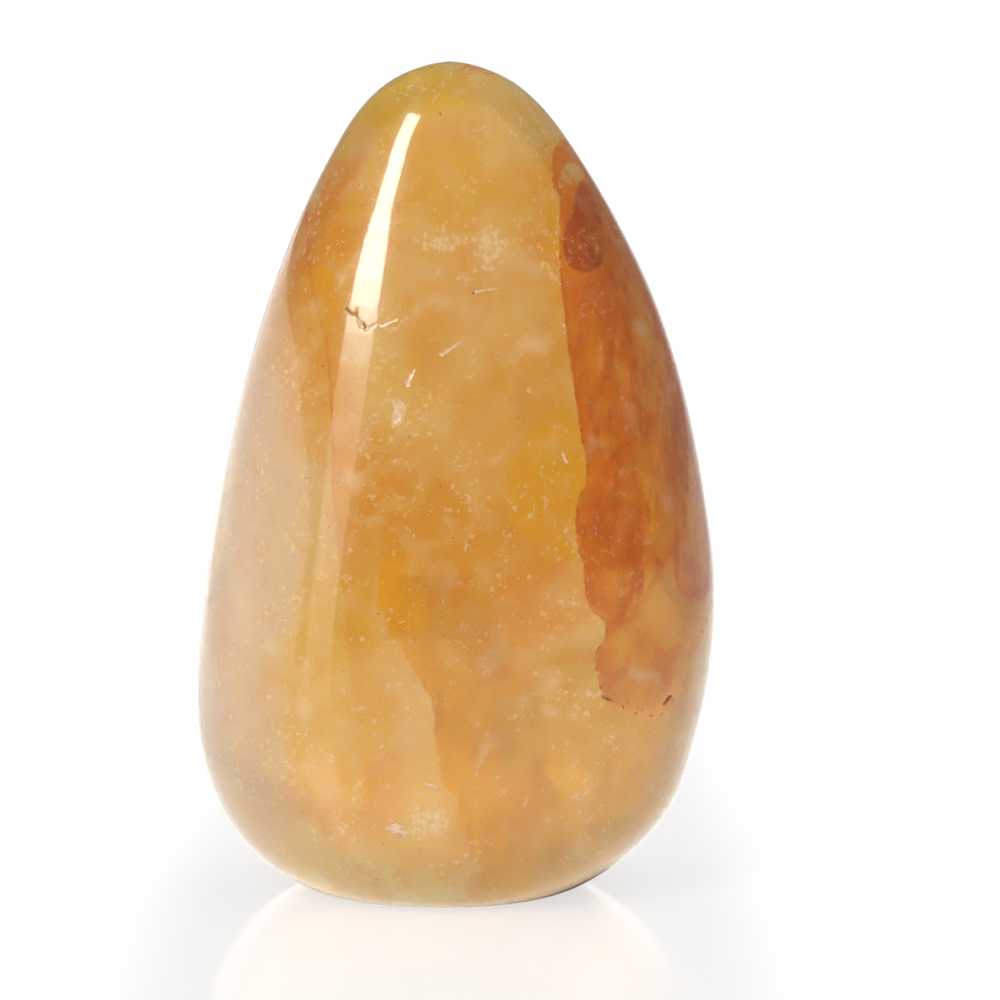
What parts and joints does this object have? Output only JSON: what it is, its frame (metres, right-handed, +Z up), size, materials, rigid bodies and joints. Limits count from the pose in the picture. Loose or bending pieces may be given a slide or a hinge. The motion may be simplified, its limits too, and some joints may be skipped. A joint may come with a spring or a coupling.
{
  "type": "polished quartz freeform with goethite",
  "caption": "Tall egg-shaped polished quartz stone with golden goethite staining, cut flat underneath so that it stands upright.",
  "frame": {"origin": "on the table plane, under the middle of the stone's outline", "axes": "+Z up towards the crown, -Y out of the broad show face, +X to the viewer's right"},
  "size_m": [0.0632, 0.0416, 0.1],
  "materials": {
    "goethite_quartz": "high polish over cloudy golden quartz, with rust and yellow goethite stains inside"
  },
  "bodies": {
    "root": {"quartz_stone": "goethite_quartz"}
  },
  "joints": []
}
